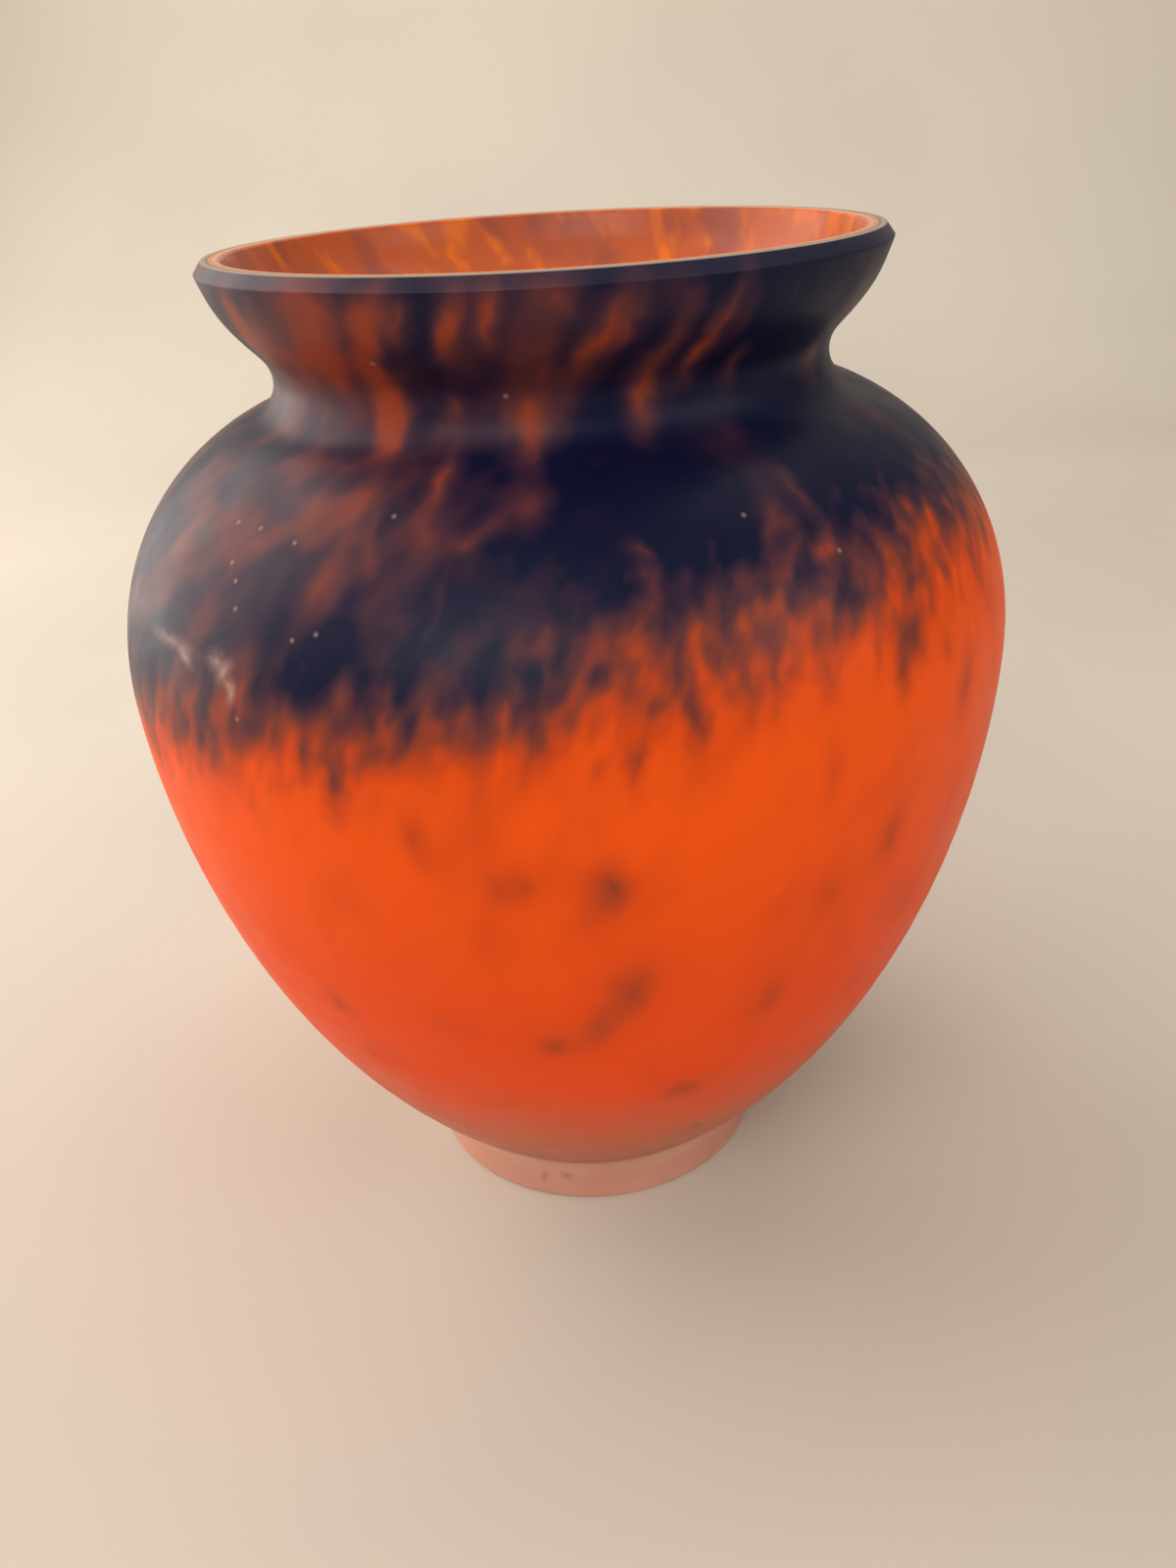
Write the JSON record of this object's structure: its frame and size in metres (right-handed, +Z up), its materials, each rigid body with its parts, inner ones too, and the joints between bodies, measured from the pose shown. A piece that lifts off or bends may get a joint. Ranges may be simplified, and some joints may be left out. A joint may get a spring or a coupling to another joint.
{
  "type": "blown glass vase",
  "caption": "Round shouldered vase of cased blown glass with a frosted skin, a fused clear foot, a grooved neck and a flared, ground rim.",
  "frame": {"origin": "centre of the foot's resting face", "axes": "+Z up along the vase's axis, -Y towards the side where the navy edge runs from low left to high right"},
  "size_m": [0.2094, 0.2094, 0.24],
  "materials": {
    "frosted_foot_glass": "acid frosted, seen through to the orange above",
    "frosted_casing_glass": "clear, satin frosted outside",
    "navy_glass": "opaque, melted in",
    "navy_grain_glass": "opaque, melted in",
    "orange_glass": "opaque, melted in",
    "lining_glass": "streaked, fire polished"
  },
  "bodies": {
    "root": {"foot": "frosted_foot_glass", "clear_casing": "frosted_casing_glass", "navy_coat": "navy_glass", "navy_grains": "navy_grain_glass", "orange_coat": "orange_glass", "orange_lining": "lining_glass"}
  },
  "joints": []
}
